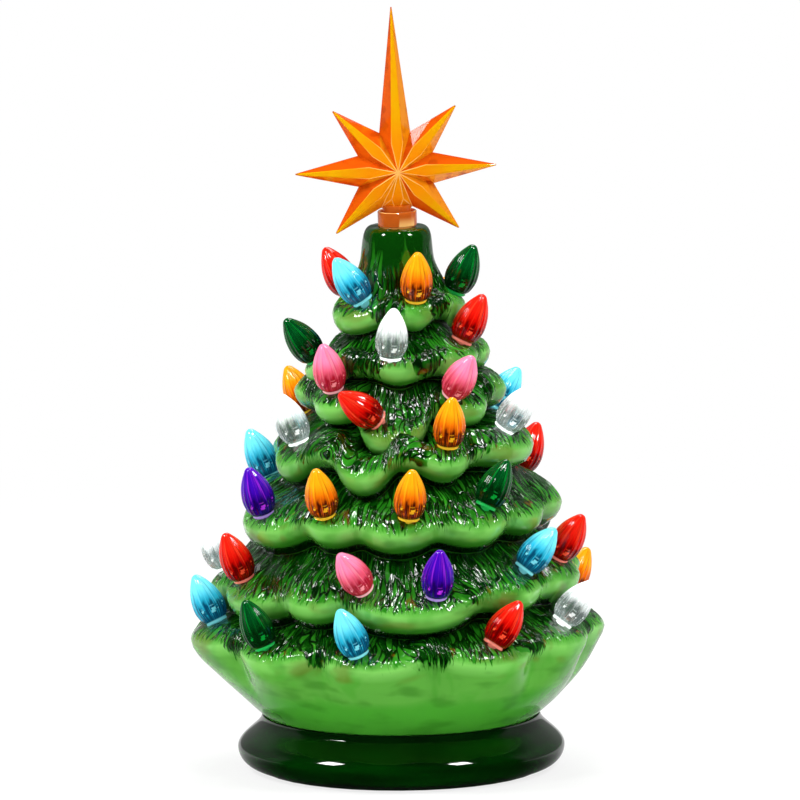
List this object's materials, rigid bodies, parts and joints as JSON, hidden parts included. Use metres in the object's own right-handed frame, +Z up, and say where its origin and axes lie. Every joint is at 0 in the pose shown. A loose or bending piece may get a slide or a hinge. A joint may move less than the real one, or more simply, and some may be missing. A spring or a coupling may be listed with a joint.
{
  "type": "tabletop christmas tree",
  "caption": "Tabletop Christmas tree of glazed ceramic with plastic flame bulbs and a star, lifting off a base that holds cells, a switch and a lamp.",
  "frame": {"origin": "on the table, under the line of the trunk, at the centre of the base", "axes": "+Z up towards the star, -Y the front that the picture shows, +X to the right of that view"},
  "size_m": [0.2047, 0.2067, 0.3806],
  "materials": {
    "tree_glaze": "wet-looking clear glaze over dark green, light green on the branch tips",
    "base_glaze": "gloss glaze, very dark green",
    "star_amber": "clear amber, polished facets",
    "bulb_red": "clear tinted, fluted",
    "bulb_orange": "clear tinted, fluted",
    "bulb_green": "clear tinted, fluted",
    "bulb_blue": "clear tinted, fluted",
    "bulb_purple": "clear tinted, fluted",
    "bulb_pink": "clear tinted, fluted",
    "bulb_clear": "clear, fluted",
    "felt": "short-pile felt",
    "black_plastic": "fine moulded grain",
    "slider_plastic": "smooth",
    "cell_wrap": "plain satin sleeve",
    "nickel": "plated spring steel",
    "post_plastic": "smooth",
    "board": "white solder mask",
    "lamp_lens": "diffusing",
    "wire_red": "smooth insulation",
    "wire_black": "smooth insulation"
  },
  "bodies": {
    "stand": {"base": "base_glaze", "felt_ring": "felt", "bottom_plate": "black_plastic", "battery_box": "black_plastic", "battery_1": "cell_wrap", "battery_2": "cell_wrap", "battery_3": "cell_wrap", "contact_bridge_1": "nickel", "contact_negative": "nickel", "contact_bridge_2": "nickel", "contact_positive": "nickel", "switch_body": "black_plastic", "lamp_post": "post_plastic", "led_board": "board", "led_lamp": "lamp_lens", "wire_battery": "wire_red", "wire_lamp": "wire_red", "wire_return": "wire_black"},
    "tree": {"tree_body": "tree_glaze", "bulb_blue_1": "bulb_blue", "bulb_red_1": "bulb_red", "bulb_orange_1": "bulb_orange", "bulb_green_1": "bulb_green", "bulb_clear_1": "bulb_clear", "bulb_red_2": "bulb_red", "bulb_green_2": "bulb_green", "bulb_pink_1": "bulb_pink", "bulb_pink_2": "bulb_pink", "bulb_red_3": "bulb_red", "bulb_orange_2": "bulb_orange", "bulb_blue_2": "bulb_blue", "bulb_orange_3": "bulb_orange", "bulb_clear_2": "bulb_clear", "bulb_clear_3": "bulb_clear", "bulb_purple_1": "bulb_purple", "bulb_blue_3": "bulb_blue", "bulb_purple_2": "bulb_purple", "bulb_orange_4": "bulb_orange", "bulb_orange_5": "bulb_orange", "bulb_green_3": "bulb_green", "bulb_clear_4": "bulb_clear", "bulb_pink_3": "bulb_pink", "bulb_clear_5": "bulb_clear", "bulb_red_4": "bulb_red", "bulb_pink_4": "bulb_pink", "bulb_purple_3": "bulb_purple", "bulb_blue_4": "bulb_blue", "bulb_red_5": "bulb_red", "bulb_green_4": "bulb_green", "bulb_orange_6": "bulb_orange", "bulb_blue_5": "bulb_blue", "bulb_green_5": "bulb_green", "bulb_blue_6": "bulb_blue", "bulb_red_6": "bulb_red", "bulb_clear_6": "bulb_clear", "bulb_orange_7": "bulb_orange", "bulb_red_7": "bulb_red"},
    "star": {"star": "star_amber"},
    "battery_door": {"battery_door": "black_plastic"},
    "switch_slider": {"switch_slider": "slider_plastic"}
  },
  "joints": [
    {"name": "tree_lift", "type": "slide", "parent": "stand", "child": "tree", "axis": [0, 0, 1], "range_m": [0, 0.12]},
    {"name": "star_pull", "type": "slide", "parent": "tree", "child": "star", "axis": [-0.0225, -0.0028, 0.9997], "range_m": [0, 0.03]},
    {"name": "door_hinge", "type": "hinge", "parent": "stand", "child": "battery_door", "pos_m": [-0.02765, 0, 0.0051], "axis": [0, 1, 0], "range_deg": [0, 95]},
    {"name": "switch_slide", "type": "slide", "parent": "stand", "child": "switch_slider", "axis": [1, 0, 0], "range_m": [0, 0.004]}
  ]
}
